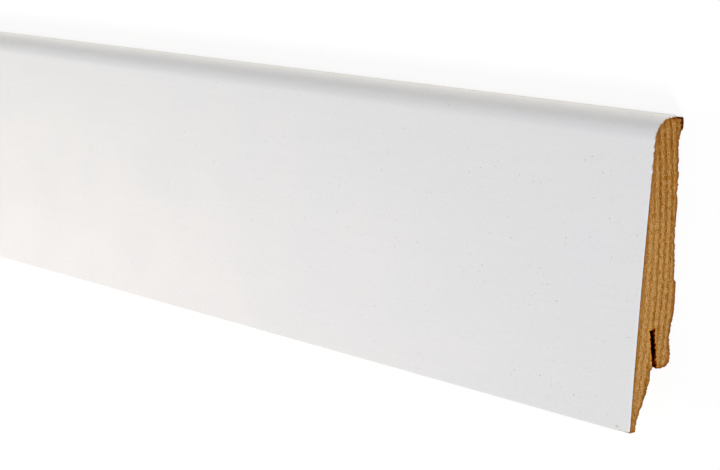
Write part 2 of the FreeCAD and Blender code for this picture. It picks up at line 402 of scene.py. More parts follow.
def inside(points, line):
    """True for each point that a closed line goes round."""
    start_y, start_z = line[:, 0], line[:, 1]
    end_y, end_z = np.roll(start_y, -1), np.roll(start_z, -1)
    y, z = points[:, :1], points[:, 1:]
    spans = (start_z > z) != (end_z > z)
    height = np.where(end_z == start_z, 1.0, end_z - start_z)
    crossing = start_y + (z - start_z) * (end_y - start_y) / height
    return (spans & (y < crossing)).sum(1) % 2 == 1


def cap_points(line, seed):
    """Scattered points inside the section for a sawn end, clear of its outline."""
    draw = np.random.default_rng(seed)
    low, high = line.min(0), line.max(0)
    columns = np.arange(low[0], high[0], CAP_STEP)
    rows = np.arange(low[1], high[1], CAP_STEP * CAP_ROW)
    grid = np.array([(y + (k % 2) * CAP_STEP / 2, z) for k, z in enumerate(rows) for y in columns])
    grid += draw.uniform(-CAP_STRAY, CAP_STRAY, grid.shape) * CAP_STEP
    grid = grid[inside(grid, line)]
    return grid[distances(grid, line).min(1) > CAP_STEP * CAP_CLEAR]


def new_mesh(name, points, faces, numbers):
    """A mesh in metres with smooth faces, crisp arrises and its named numbers on the points."""
    mesh = bpy.data.meshes.new(name)
    mesh.from_pydata([tuple(MM * value for value in point) for point in points], [], faces)
    for label, values in numbers.items():
        layer = mesh.attributes.new(label, "FLOAT", "POINT")
        layer.data.foreach_set("value", np.asarray(values, dtype=np.float32))
    mesh.shade_smooth()
    mesh.set_sharp_from_angle(angle=SHARP_ANGLE)
    mesh.validate()
    piece = bpy.data.objects.new(name, mesh)
    bpy.context.scene.collection.objects.link(piece)
    return piece


def side_faces(columns, rows):
    """Faces between neighbouring stations of a closed run."""
    faces = []
    for row in range(rows - 1):
        for column in range(columns):
            beside = (column + 1) % columns
            low, high = row * columns, (row + 1) * columns
            faces.append((low + column, low + beside, high + beside, high + column))
    return faces


def build_core():
    """The moulded wood core with fibrous back, ragged slot and two sawn ends."""
    covered = [(up, out, "covered") for up, out in covered_run(FOIL_THICKNESS + GLUE_LINE, COVERED_STEP)]
    run = spaced(raw_run() + covered)
    line = np.array([(up + TOE_Y, out) for up, out, part in run])
    normals = inward_normals(line)
    steps = np.linalg.norm(np.roll(line, -1, axis=0) - line, axis=1)
    run_lengths = np.concatenate([[0], np.cumsum(steps)[:-1]])
    is_slot = np.array([part == "slot" for up, out, part in run])
    is_covered = np.array([part == "covered" for up, out, part in run])
    to_slot = np.linalg.norm(line[:, None] - line[is_slot][None], axis=2).min(1)
    places = stations()
    columns = len(run)
    points, rings, rims, kerfs, stains = [], [], [], [], []

    def note(x, y, z, rim, kerf):
        points.append((x, y, z))
        rings.append(ring_number(x, y, z))
        rims.append(rim)
        kerfs.append(kerf)
        stains.append(glue_stain(y - TOE_Y, z, x))

    for x in places:
        for index, (up, out, part) in enumerate(run):
            depth = 0.0 if part == "covered" else moulded_wear(up, run_lengths[index], part, x)
            y, z = line[index] + normals[index] * depth
            y += strip_torn_up(up, out, part, x) + lip_wear(up, out, x)
            note(x, min(max(y, TOE_Y), -TOE_Y), max(z, 0.0), HALF_LENGTH - abs(x), to_slot[index])
    faces = side_faces(columns, len(places))

    for row, seed in zip((0, len(places) - 1), CAP_SEEDS):
        rim_points = range(row * columns, (row + 1) * columns)
        edge = np.array([points[index][1:] for index in rim_points])
        fill = cap_points(edge, seed)
        gaps = distances(fill, edge)
        from_slot = np.where(is_slot[None], gaps, np.inf).min(1)
        foil_band = BESIDE_FOIL_START + abs(gaps - BESIDE_FOIL_IN) * BESIDE_FOIL_RISE
        torn_band = np.where(is_covered[None], foil_band, gaps)
        from_rim = np.where(is_slot[None], np.inf, torn_band).min(1)
        first = len(points)
        end_side = 1 if row else -1
        for (y, z), rim, kerf in zip(fill, from_rim, from_slot):
            grain = wobble(y, z, width=0.8, length=0.8, pattern=30.0 * seed)
            place_in_ring = ring_number(end_side * HALF_LENGTH, y, z) % 1.0
            hollow = RING_DIP * math.sin(math.pi * place_in_ring) + GRAIN_DIP * grain + CAP_DEPTH
            note(end_side * (HALF_LENGTH - max(0.0, hollow)), y, z, rim, kerf)
        flat = [Vector(point) for point in edge] + [Vector(point) for point in fill]
        made = delaunay_2d_cdt(flat, [], [list(range(columns))], FILL_INSIDE, SAME_POINT)
        if len(made[0]) != len(flat):
            raise ValueError("the outline of a sawn end crosses itself")
        owners = [source[0] for source in made[3]]
        for face in made[2]:
            corners = [owners[corner] for corner in face]
            ids = [rim_points[corner] if corner < columns else first + corner - columns for corner in corners]
            faces.append(tuple(ids) if row else tuple(reversed(ids)))
    numbers = {"ring": rings, "rim": rims, "kerf": kerfs, "stain": stains}
    return new_mesh("sawn_wood_core", points, faces, numbers)


def clean_cut(up, x):
    """1 where the saw left the foil's edge clean and pale, 0 round the nose, where fibres cover it."""
    wander = CLEAN_WANDER * wobble(up, math.copysign(4, x), width=2.5, pattern=50.0)
    below = CLEAN_UP + wander - up
    return min(1.0, below / CLEAN_FADE + CLEAN_LEAST) if below > 0 else 0.0


def build_foil():
    """The decor foil, saw-ragged at both ends, with a small chip at the toe and a burr on the visible one."""
    outer = [(BOARD_HEIGHT, BORDER_OUT)] + covered_run(0.0, RAW_STEP)
    inner = [(BOARD_HEIGHT - FOIL_THICKNESS, BORDER_OUT)] + covered_run(FOIL_THICKNESS, RAW_STEP)
    # Both skins get the same number of points
    while len(inner) > len(outer):
        inner.pop(len(inner) // 2)
    while len(outer) > len(inner):
        outer.pop(len(outer) // 2)
    places = stations()
    ring = outer + inner[::-1]
    skin = len(outer)
    columns = len(ring)
    points, cuts, borders, cleans = [], [], [], []
    for x in places:
        from_end = HALF_LENGTH - abs(x)
        chip = 0.0
        nibble = 0.0
        if x > 0:
            nibble = (NIBBLE_OUT - BORDER_OUT) * max(0.0, 1 - from_end / NIBBLE_LENGTH)
            chip = CHIP_HEIGHT * max(0.0, 1 - from_end / CHIP_LENGTH) ** CHIP_CURVE
            chip *= CHIP_MEAN + CHIP_RAGGED * wobble(from_end, 2.0, width=0.6, pattern=2.0)
        for index, (up, out) in enumerate(ring):
            along = index if index < skin else columns - 1 - index
            ragged = 0.5 + 0.5 * wobble(along * RAW_STEP, 7.0, width=0.9, pattern=math.copysign(9, x))
            pull = SAW_PULL * ragged * math.exp(-from_end / PULL_LENGTH) if from_end < PULL_REACH else 0.0
            if up < CHIP_FOOT:
                up = chip + up * (CHIP_FOOT - chip) / CHIP_FOOT
            if nibble > 0 and up > TOP_EDGE_UP and out < TOP_FLAT_OUT:
                out += nibble * (TOP_FLAT_OUT - out) / (TOP_FLAT_OUT - BORDER_OUT)
            if index >= skin and x > 0 and from_end < AT_CUT:
                burr = math.exp(-((up - FOIL_BURR_UP) / FOIL_BURR_WIDTH) ** 2)
                out -= FOIL_BURR_IN * burr
                pull *= 1 - burr
            points.append((math.copysign(abs(x) - pull, x), up + TOE_Y, out))
            cuts.append(from_end)
            borders.append(out - BORDER_OUT - nibble if up > TOP_EDGE_UP else FAR_FROM_BORDER)
            cleans.append(clean_cut(up, x))
    faces = side_faces(columns, len(places))
    for row in (0, len(places) - 1):
        for index in range(skin - 1):
            low = row * columns + index
            high = (row + 1) * columns - 1 - index
            face = (low, low + 1, high - 1, high)
            faces.append(face if row else face[::-1])
    return new_mesh("wrapped_foil", points, faces, {"rim": cuts, "border": borders, "clean": cleans})


# Node helpers

def place(tree, kind, sockets=None, **settings):
    """Adds a node with its settings, and sets or links its sockets."""
    made = tree.nodes.new(kind)
    for name, value in settings.items():
        setattr(made, name, value)
    for name, value in (sockets or {}).items():
        if isinstance(value, bpy.types.NodeSocket):
            tree.links.new(value, made.inputs[name])
        else:
            made.inputs[name].default_value = value
    return made


def math_node(tree, operation, *values):
    """The result of one Math node."""
    sockets = dict(enumerate(values))
    return place(tree, "ShaderNodeMath", sockets, operation=operation).outputs[0]


def times(tree, first, second):
    """One value times another."""
    return math_node(tree, "MULTIPLY", first, second)


def scaled(tree, vector, factors):
    """A vector with each of its parts multiplied by a factor of its own."""
    sockets = {0: vector, 1: factors}
    return place(tree, "ShaderNodeVectorMath", sockets, operation="MULTIPLY").outputs["Vector"]


def remap(tree, value, start, finish, low=0.0, high=1.0, kind="LINEAR"):
    """A value carried from one range into another, held at both ends."""
    sockets = {"Value": value, "From Min": start, "From Max": finish, "To Min": low, "To Max": high}
    made = place(tree, "ShaderNodeMapRange", sockets, interpolation_type=kind)
    return made.outputs["Result"]


def mix_colour(tree, share, first, second):
    """One colour over another, by a share."""
    sockets = {0: share}
    for index, colour in ((6, first), (7, second)):
        is_linked = isinstance(colour, bpy.types.NodeSocket)
        sockets[index] = colour if is_linked else (*colour, 1.0)
    return place(tree, "ShaderNodeMix", sockets, data_type="RGBA").outputs[2]


def times_grey(tree, colour, tone):
    """A colour made lighter or darker by a tone around 1."""
    sockets = {0: colour, "Scale": tone}
    return place(tree, "ShaderNodeVectorMath", sockets, operation="SCALE").outputs["Vector"]


def number_on(tree, name):
    """A number kept on the mesh's points."""
    return place(tree, "ShaderNodeAttribute", attribute_name=name).outputs["Fac"]


def start_group(name, inputs, outputs):
    """A new shader node group with its sockets."""
    group = bpy.data.node_groups.new(name, "ShaderNodeTree")
    for label, kind, value in inputs:
        socket = group.interface.new_socket(label, in_out="INPUT", socket_type=kind)
        if value is not None:
            socket.default_value = value
    for label in outputs:
        group.interface.new_socket(label, in_out="OUTPUT", socket_type="NodeSocketFloat")
    entry = group.nodes.new("NodeGroupInput")
    leave = group.nodes.new("NodeGroupOutput")
    return group, entry.outputs, leave.inputs


def use_group(tree, group, **sockets):
    """Places a group in a material, with its own values."""
    return place(tree, "ShaderNodeGroup", sockets, node_tree=group).outputs


def fine_grain_group():
    """Small irregular grain: how light each grain is, and how far it stands up."""
    inputs = [("Vector", "NodeSocketVector", None), ("Size", "NodeSocketFloat", 0.001),
              ("Contrast", "NodeSocketFloat", 0.5)]
    group, entry, leave = start_group("Fine grain", inputs, ("Tone", "Height"))
    scale = math_node(group, "DIVIDE", 1.0, entry["Size"])
    sockets = {"Vector": entry["Vector"], "Scale": scale, "Detail": 2.5, "Roughness": 0.62}
    grain = place(group, "ShaderNodeTexNoise", sockets).outputs["Fac"]
    centred = math_node(group, "SUBTRACT", grain, 0.5)
    tone = math_node(group, "MULTIPLY_ADD", centred, entry["Contrast"], 1.0)
    group.links.new(tone, leave["Tone"])
    group.links.new(grain, leave["Height"])
    return group


# The least radius of a speck, as a share of the set one, and how much of a speck is its soft edge
SPECK_LEAST = 0.35
SPECK_EDGE = 0.6


def scattered_specks_group():
    """Small round specks of uneven size, in a share of the places where one could be."""
    inputs = [("Vector", "NodeSocketVector", None), ("Spacing", "NodeSocketFloat", 0.01),
              ("Radius", "NodeSocketFloat", 0.1), ("Share", "NodeSocketFloat", 0.5)]
    group, entry, leave = start_group("Scattered specks", inputs, ("Mask",))
    scale = math_node(group, "DIVIDE", 1.0, entry["Spacing"])
    cells = place(group, "ShaderNodeTexVoronoi", {"Vector": entry["Vector"], "Scale": scale})
    chance = place(group, "ShaderNodeSeparateColor", {"Color": cells.outputs["Color"]}).outputs
    radius = times(group, entry["Radius"], math_node(group, "ADD", chance["Green"], SPECK_LEAST))
    edge = math_node(group, "SUBTRACT", 1.0, math_node(group, "DIVIDE", cells.outputs["Distance"], radius))
    speck = remap(group, edge, 0.0, SPECK_EDGE, kind="SMOOTHSTEP")
    chosen = math_node(group, "LESS_THAN", chance["Red"], entry["Share"])
    group.links.new(times(group, speck, chosen), leave["Mask"])
    return group


def sawn_arris_group():
    """A ragged band beside a cut edge, from the distance to the cut."""
    inputs = [("Vector", "NodeSocketVector", None), ("Distance", "NodeSocketFloat", 0.0),
              ("Width", "NodeSocketFloat", 0.5), ("Ragged", "NodeSocketFloat", 0.5),
              ("Size", "NodeSocketFloat", 0.001)]
    group, entry, leave = start_group("Sawn arris", inputs, ("Mask",))
    scale = math_node(group, "DIVIDE", 1.0, entry["Size"])
    sockets = {"Vector": entry["Vector"], "Scale": scale, "Detail": 2.0}
    wander = place(group, "ShaderNodeTexNoise", sockets).outputs["Fac"]
    swing = times(group, math_node(group, "SUBTRACT", wander, 0.5), entry["Ragged"])
    width = times(group, entry["Width"], math_node(group, "ADD", swing, 1.0))
    share = math_node(group, "DIVIDE", entry["Distance"], width)
    group.links.new(remap(group, share, 0.0, 1.0, 1.0, 0.0, "SMOOTHSTEP"), leave["Mask"])
    return group


FINE_GRAIN = fine_grain_group()
SCATTERED_SPECKS = scattered_specks_group()
SAWN_ARRIS = sawn_arris_group()


def grain_height(tree, vector, size):
    """Fine grain as a height between 0 and 1."""
    return use_group(tree, FINE_GRAIN, Vector=vector, Size=size)["Height"]


def specks_mask(tree, vector, spacing, radius, share):
    """Where scattered specks lie."""
    values = {"Spacing": spacing, "Radius": radius, "Share": share}
    return use_group(tree, SCATTERED_SPECKS, Vector=vector, **values)["Mask"]


def ragged_band(tree, vector, distance, band):
    """How far inside a ragged band beside an edge each place lies. The band is (width, ragged, size)."""
    values = dict(zip(("Width", "Ragged", "Size"), band))
    return use_group(tree, SAWN_ARRIS, Vector=vector, Distance=distance, **values)["Mask"]


def new_material(name):
    """An empty material with its Principled shader."""
    material = bpy.data.materials.new(name)
    material.use_nodes = True
    tree = material.node_tree
    tree.nodes.clear()
    shader = tree.nodes.new("ShaderNodeBsdfPrincipled")
    output = tree.nodes.new("ShaderNodeOutputMaterial")
    tree.links.new(shader.outputs["BSDF"], output.inputs["Surface"])
    return material, tree, shader


def finish_surface(tree, shader, colour, rough, relief):
    """Joins a surface's colour, roughness and relief to its shader."""
    bump = place(tree, "ShaderNodeBump", relief)
    tree.links.new(colour, shader.inputs["Base Color"])
    tree.links.new(rough, shader.inputs["Roughness"])
    tree.links.new(bump.outputs["Normal"], shader.inputs["Normal"])


# The middle range of a grain's height, over which roughness changes
GRAIN_RANGE = (0.3, 0.7)

# The wood's colours from its darkest late wood to its palest early wood, each with its place on that scale
WOOD_SHADES = (
    (0.0, (0.21, 0.066, 0.001)),
    (0.28, (0.325, 0.123, 0.01)),
    (0.55, (0.45, 0.21, 0.043)),
    (1.0, (0.67, 0.415, 0.17)),
)
PALE_FLECK = (0.76, 0.5, 0.23)
SAWN_BROWN = (0.29, 0.095, 0.003)
SAWN_DARK = (0.15, 0.045, 0.002)
OLIVE_WOOD = (0.34, 0.205, 0.07)
KERF_FRINGE = (0.82, 0.35, 0.02)
# Painted shade inside the clip slot: near black deep in, and red where light reaches in near the mouth and at
# the cut
KERF_SHADE_BLACK = (0.002, 0.0004, 0.0003)
KERF_HALF_SHADE_RED = (0.1, 0.006, 0.0006)
KERF_SCORCH = (0.3, 0.05, 0.001)
OLD_GLUE = (0.045, 0.003, 0.0004)
GLUE_BROWN = (0.2, 0.055, 0.001)

# The dark line of late wood: where in its ring it rises and falls, and its least and greatest strength
LINE_RISE = (0.08, 0.5)
LINE_FALL = (0.55, 0.86)
LINE_STRENGTH = (0.6, 1.15)
# The lines are fainter on the face's side of the section, past this range out from the wall in metres
FACE_SIDE = (0.008, 0.012)
FACE_SIDE_STRENGTH = 0.7
# The place of plain early wood on the scale of shades, and what a full dark line takes off it
EARLY_SHADE = 0.715
LATE_DROP = -0.45
# Painted light and shade: the wood is painted lighter above the leg and darker towards the nose, for how the
# light falls on the sawn end, over ranges of Y in metres
ABOVE_LEG = (-0.035, -0.02)
ABOVE_LEG_PAINTED_LIGHT = 0.03
NOSE_SIDE = (0.006, 0.034)
NOSE_SIDE_PAINTED_SHADE = -0.16
# Heights above the slot's mouth between which its walls turn fully to painted shade, in metres
MOUTH_RANGE = (0.0015, 0.0045)
# Heights of grain between which a patch sets in, and for some the shares that it goes from and to
OLIVE_PATCHES = (0.45, 0.65, 0.0, 0.32)
DARK_RIM_PATCHES = (0.48, 0.6)
RED_MOUTH_PATCHES = (0.4, 0.55)
BARE_MOUTH_PATCHES = (0.52, 0.6, 0.0, 0.45)
GLUE_SPREAD = (0.35, 0.65, 0.4, -0.3)
GLUE_BLOTS = (0.52, 0.62)
# The stain numbers at which glue starts and is full, and the one at which its blots are fully ragged
GLUE_FULL = (0.12, 0.35)
GLUE_RAGGED_AT = 0.25
# Ragged bands beside an edge: width in millimetres, how ragged, and the size of the rags in metres
RIM_BAND = (1.35, 1.6, 0.0008)
FRINGE_BAND = (0.8, 3.0, 0.0007)
SCORCH_BAND = (0.45, 2.2, 0.0006)
SHADED_WALL_BAND = (0.12, 2.2, 0.0005)
END_BAND = (0.55, 3.0, 0.0006)
# How much of the wood each of these hides
FLECK_COVER = 0.8
RIM_COVER = 0.85
FRINGE_COVER = 0.65
SCORCH_COVER = 0.85
WOOD_ROUGHNESS = (0.78, 0.92)
WOOD_SPECULAR = 0.02
# What a dark line adds to the grain's height
LINE_RELIEF = 0.5


def late_wood(tree, section, cloud):
    """How dark the late wood is: one soft line in each growth ring, some rings stronger than others."""
    ring = number_on(tree, "ring")
    place_in_ring = math_node(tree, "FRACT", ring)
    rising = remap(tree, place_in_ring, *LINE_RISE, kind="SMOOTHSTEP")
    falling = remap(tree, place_in_ring, *LINE_FALL, 1.0, 0.0, "SMOOTHSTEP")
    line = times(tree, rising, falling)
    count = math_node(tree, "FLOOR", ring)
    luck = place(tree, "ShaderNodeTexWhiteNoise", {"W": count}, noise_dimensions="1D").outputs["Value"]
    strength = remap(tree, luck, 0.0, 1.0, *LINE_STRENGTH)
    fainter = remap(tree, section["Z"], *FACE_SIDE, 1.0, FACE_SIDE_STRENGTH)
    return times(tree, times(tree, line, times(tree, strength, fainter)), cloud["Tone"])


def wood_shade(tree, late, grain, streaks, section):
    """The colour on the wood's scale of shades."""
    shade = math_node(tree, "MULTIPLY_ADD", late, LATE_DROP, EARLY_SHADE)
    changes = (
        math_node(tree, "SUBTRACT", grain["Tone"], 1.0),
        math_node(tree, "SUBTRACT", streaks["Tone"], 1.0),
        # Painted light above the leg and painted shade towards the nose
        remap(tree, section["Y"], *ABOVE_LEG, 0.0, ABOVE_LEG_PAINTED_LIGHT),
        remap(tree, section["Y"], *NOSE_SIDE, 0.0, NOSE_SIDE_PAINTED_SHADE, "SMOOTHSTEP"),
    )
    for change in changes:
        shade = math_node(tree, "ADD", shade, change)
    ramp = place(tree, "ShaderNodeValToRGB", {"Fac": shade})
    stops = ramp.color_ramp.elements
    for number, (spot, tint) in enumerate(WOOD_SHADES):
        stop = stops[number] if number < 2 else stops.new(spot)
        stop.position = spot
        stop.color = (*tint, 1.0)
    return ramp.outputs["Color"]


def over_slot(tree, colour, fibre, grain, streaks, section, from_rim):
    """The colour with the clip slot's walls painted near black as shade, and its orange fringe, over it."""
    kerf = number_on(tree, "kerf")
    fringe = ragged_band(tree, fibre, kerf, FRINGE_BAND)
    colour = mix_colour(tree, times(tree, fringe, FRINGE_COVER), colour, KERF_FRINGE)
    # The wall on the tongue's side is scorched further in
    tangent = math.tan(SLOT_SLANT)
    slot_middle = SLOT_MOUTH_OUT + SLOT_WIDTH / 2 / math.cos(SLOT_SLANT) - (TOE_Y + SLOT_MOUTH_UP) * tangent
    leaned = math_node(tree, "MULTIPLY_ADD", section["Y"], -tangent, section["Z"])
    tongue_side = math_node(tree, "LESS_THAN", leaned, slot_middle * MM)
    scorched = times(tree, ragged_band(tree, fibre, kerf, SCORCH_BAND), tongue_side)
    colour = mix_colour(tree, times(tree, scorched, SCORCH_COVER), colour, KERF_SCORCH)
    # Near the mouth and at the cut the painted shade turns red, as painted light where light reaches into the
    # slot, and fibres show
    mouth_y = (SLOT_MOUTH_UP + TOE_Y) * MM
    near_mouth = remap(tree, section["Y"], *(mouth_y + above for above in MOUTH_RANGE), 1.0, 0.0)
    red_mouth = times(tree, near_mouth, remap(tree, grain["Height"], *RED_MOUTH_PATCHES))
    near_cut = ragged_band(tree, fibre, from_rim, END_BAND)
    less_shaded = math_node(tree, "MAXIMUM", red_mouth, near_cut)
    wall = mix_colour(tree, less_shaded, KERF_SHADE_BLACK, KERF_HALF_SHADE_RED)
    bare = times(tree, near_mouth, remap(tree, streaks["Height"], *BARE_MOUTH_PATCHES))
    wall = mix_colour(tree, times(tree, bare, near_cut), wall, KERF_FRINGE)
    return mix_colour(tree, ragged_band(tree, fibre, kerf, SHADED_WALL_BAND), colour, wall)


def over_glue(tree, colour, fibre):
    """The colour with blots of old glue over it."""
    blots = grain_height(tree, fibre, 0.0007)
    stain = number_on(tree, "stain")
    spread = remap(tree, blots, *GLUE_SPREAD)
    raggedness = remap(tree, stain, 0.0, GLUE_RAGGED_AT)
    ragged_stain = math_node(tree, "MULTIPLY_ADD", spread, raggedness, stain)
    stained = remap(tree, ragged_stain, *GLUE_FULL, kind="SMOOTHSTEP")
    glue = mix_colour(tree, remap(tree, blots, *GLUE_BLOTS), OLD_GLUE, GLUE_BROWN)
    return mix_colour(tree, stained, colour, glue)


def raw_wood():
    """Bare softwood: growth rings, fibres along the board, granular sawn ends and a slot painted dark as
    shade.
    """
    material, tree, shader = new_material("raw softwood")
    where = place(tree, "ShaderNodeTexCoord").outputs["Object"]
    section = place(tree, "ShaderNodeSeparateXYZ", {0: where}).outputs
    fibre = scaled(tree, where, (0.03, 1.0, 1.0))
    drawn_out = scaled(tree, where, (0.03, 0.3, 1.0))
    grain = use_group(tree, FINE_GRAIN, Vector=fibre, Size=0.0003, Contrast=3.4)
    streaks = use_group(tree, FINE_GRAIN, Vector=drawn_out, Size=0.0004, Contrast=2.2)
    cloud = use_group(tree, FINE_GRAIN, Vector=fibre, Size=0.005, Contrast=1.6)

    late = late_wood(tree, section, cloud)
    colour = wood_shade(tree, late, grain, streaks, section)
    patches = grain_height(tree, drawn_out, 0.0008)
    colour = mix_colour(tree, remap(tree, patches, *OLIVE_PATCHES), colour, OLIVE_WOOD)
    flecks = specks_mask(tree, fibre, spacing=0.0022, radius=0.16, share=0.22)
    colour = mix_colour(tree, times(tree, flecks, FLECK_COVER), colour, PALE_FLECK)

    from_rim = number_on(tree, "rim")
    rim = ragged_band(tree, fibre, from_rim, RIM_BAND)
    rim_colour = mix_colour(tree, remap(tree, patches, *DARK_RIM_PATCHES), SAWN_BROWN, SAWN_DARK)
    colour = mix_colour(tree, times(tree, rim, RIM_COVER), colour, rim_colour)
    colour = over_slot(tree, colour, fibre, grain, streaks, section, from_rim)
    colour = over_glue(tree, colour, fibre)

    rough = remap(tree, grain["Height"], *GRAIN_RANGE, *WOOD_ROUGHNESS)
    height = math_node(tree, "MULTIPLY_ADD", late, LINE_RELIEF, grain["Height"])
    finish_surface(tree, shader, colour, rough, {"Height": height, "Strength": 0.55, "Distance": 0.00012})
    shader.inputs["Specular IOR Level"].default_value = WOOD_SPECULAR
    return material


FOIL_WHITE = (0.796, 0.794, 0.79)
FOIL_COOL = (0.788, 0.79, 0.794)
FOIL_CUT = (0.82, 0.88, 0.95)
FOIL_FIBRES = (0.4, 0.23, 0.1)
TAN_SPECK = (0.5, 0.4, 0.28)
GREY_SPECK = (0.38, 0.37, 0.36)
TAN_BORDER = (0.5, 0.4, 0.3)

# Marks on the foil: distance from the sawn end, height, radius and strength
FOIL_MARKS = (
    (12.0, 53.4, 0.35, 0.8), (4.3, 1.1, 0.45, 0.9), (3.7, 1.0, 0.4, 0.7), (2.9, 0.3, 0.35, 0.8),
    (1.5, 0.1, 0.35, 0.8), (13.4, 4.8, 0.22, 0.35), (6.1, 5.7, 0.25, 0.45), (7.8, 7.0, 0.22, 0.4),
    (28.9, 65.7, 0.3, 0.35), (183.4, 53.1, 0.4, 0.4), (115.7, 69.6, 0.3, 0.35),
)
# The same over the top of the nose, with the distance out from the wall plane in place of the height
NOSE_MARKS = ((4.7, 6.6, 0.5, 0.35), (2.8, 6.3, 0.4, 0.3), (2.2, 5.8, 0.4, 0.3))
# Heights of grain between which a patch sets in, and for one the shares that it goes from and to
COOL_PATCHES = (0.35, 0.65)
DUST_PATCHES = (0.44, 0.58, 0.15, 1.3)
WIPED_PATCHES = (0.53, 0.6)
# Dust is thicker near the ends: distances from an end where it is least and most, and how strong it is there
DUST_FAR = 320
DUST_NEAR = 90
DUST_STRENGTH = (0.1, 0.6)
SMUDGE_COVER = 0.04
BORDER_BAND = (1.4, 1.0, 0.002)
BORDER_COVER = 0.25
# The pale band at the cut: width and raggedness where fibres cover it and where it is clean
CUT_WIDTH = (0.22, 0.42)
CUT_RAGGED = (2.6, 0.7)
CUT_RAG_SIZE = 0.0008
HALF_CLEAN = 0.5
FOIL_ROUGHNESS = (0.36, 0.42)
# What the pressed-in fibre lines add to the foil's own fine unevenness
FIBRE_RELIEF = 0.6


def soft_mark(tree, flattened, centre, radius, strength):
    """A round mark on coordinates that are flattened to one side of the foil."""
    sockets = {0: flattened, 1: [value * MM for value in centre]}
    gap = place(tree, "ShaderNodeVectorMath", sockets, operation="DISTANCE").outputs["Value"]
    return remap(tree, gap, 0.0, radius * MM, strength, 0.0, "SMOOTHSTEP")


def marks_on_foil(tree, where):
    """All the single marks, on the face and over the top of the nose."""
    face = scaled(tree, where, (1.0, 1.0, 0.0))
    marks = [soft_mark(tree, face, (HALF_LENGTH - from_end, up + TOE_Y, 0.0), radius, strength)
             for from_end, up, radius, strength in FOIL_MARKS]
    top = scaled(tree, where, (1.0, 0.0, 1.0))
    marks += [soft_mark(tree, top, (HALF_LENGTH - from_end, 0.0, out), radius, strength)
              for from_end, out, radius, strength in NOSE_MARKS]
    strongest = marks[0]
    for mark in marks[1:]:
        strongest = math_node(tree, "MAXIMUM", strongest, mark)
    return strongest


def dust_on_foil(tree, where):
    """Small specks in gathered patches, more of them near the sawn ends, and a few faint smudges."""
    specks = specks_mask(tree, where, spacing=0.0013, radius=0.16, share=0.5)
    smudges = specks_mask(tree, where, spacing=0.011, radius=0.15, share=0.7)
    along = place(tree, "ShaderNodeSeparateXYZ", {0: where}).outputs["X"]
    dust_range = ((HALF_LENGTH - DUST_FAR) * MM, (HALF_LENGTH - DUST_NEAR) * MM)
    near_ends = remap(tree, math_node(tree, "ABSOLUTE", along), *dust_range, *DUST_STRENGTH)
    gathered = remap(tree, grain_height(tree, where, 0.012), *DUST_PATCHES)
    dust = times(tree, specks, times(tree, near_ends, gathered))
    return math_node(tree, "MAXIMUM", dust, times(tree, smudges, SMUDGE_COVER))


def satin_foil():
    """White satin foil with a soft mottle, pressed-in fibre lines, small specks and a pale cut edge."""
    material, tree, shader = new_material("satin white foil")
    where = place(tree, "ShaderNodeTexCoord").outputs["Object"]
    fibre = scaled(tree, where, (0.05, 1.0, 1.0))
    peel = use_group(tree, FINE_GRAIN, Vector=where, Size=0.0006, Contrast=0.12)
    lines = use_group(tree, FINE_GRAIN, Vector=fibre, Size=0.0014, Contrast=0.035)
    cloud = grain_height(tree, where, 0.022)

    colour = mix_colour(tree, remap(tree, cloud, *COOL_PATCHES), FOIL_WHITE, FOIL_COOL)
    colour = times_grey(tree, colour, times(tree, peel["Tone"], lines["Tone"]))
    colour = mix_colour(tree, dust_on_foil(tree, where), colour, GREY_SPECK)
    colour = mix_colour(tree, marks_on_foil(tree, where), colour, TAN_SPECK)
    border = ragged_band(tree, where, number_on(tree, "border"), BORDER_BAND)
    colour = mix_colour(tree, times(tree, border, BORDER_COVER), colour, TAN_BORDER)

    clean = number_on(tree, "clean")
    cut_width = remap(tree, clean, 0.0, 1.0, *CUT_WIDTH)
    raggedness = remap(tree, clean, 0.0, HALF_CLEAN, *CUT_RAGGED)
    cut = ragged_band(tree, where, number_on(tree, "rim"), (cut_width, raggedness, CUT_RAG_SIZE))
    wiped = remap(tree, grain_height(tree, where, 0.0009), *WIPED_PATCHES)
    pale = math_node(tree, "MAXIMUM", wiped, remap(tree, clean, 0.0, HALF_CLEAN))
    colour = mix_colour(tree, cut, colour, mix_colour(tree, pale, FOIL_FIBRES, FOIL_CUT))

    rough = remap(tree, cloud, *GRAIN_RANGE, *FOIL_ROUGHNESS)
    height = math_node(tree, "MULTIPLY_ADD", lines["Height"], FIBRE_RELIEF, peel["Height"])
    finish_surface(tree, shader, colour, rough, {"Height": height, "Strength": 0.25, "Distance": 0.00003})
    return material


# The floor and the light all round

WHITE = (1.0, 1.0, 1.0, 1.0)
FLOOR_HALF = 12.0
FLOOR_DROP = 0.00005
# What the floor shows to the camera: a glow, with a little lit grey that takes the board's shadow
FLOOR_GLOW = 0.9
FLOOR_LIT = (0.12, 0.12, 0.12, 1.0)
# What the floor gives to the board: plain grey, and painted light, a warm glow of the floor's own that shines
# back up
FLOOR_GREY = (0.8, 0.8, 0.8, 1.0)
FLOOR_WARM_GLOW = (0.29, 0.19, 0.035, 1.0)
AMBIENT = (0.25, 0.252, 0.278, 1.0)


def seen_directly(tree):
    """1 for rays from the camera or off a gloss or through glass, 0 for the rays that carry light."""
    path = place(tree, "ShaderNodeLightPath").outputs
    seen = math_node(tree, "MAXIMUM", path["Is Camera Ray"], path["Is Glossy Ray"])
    return math_node(tree, "MAXIMUM", seen, path["Is Transmission Ray"])


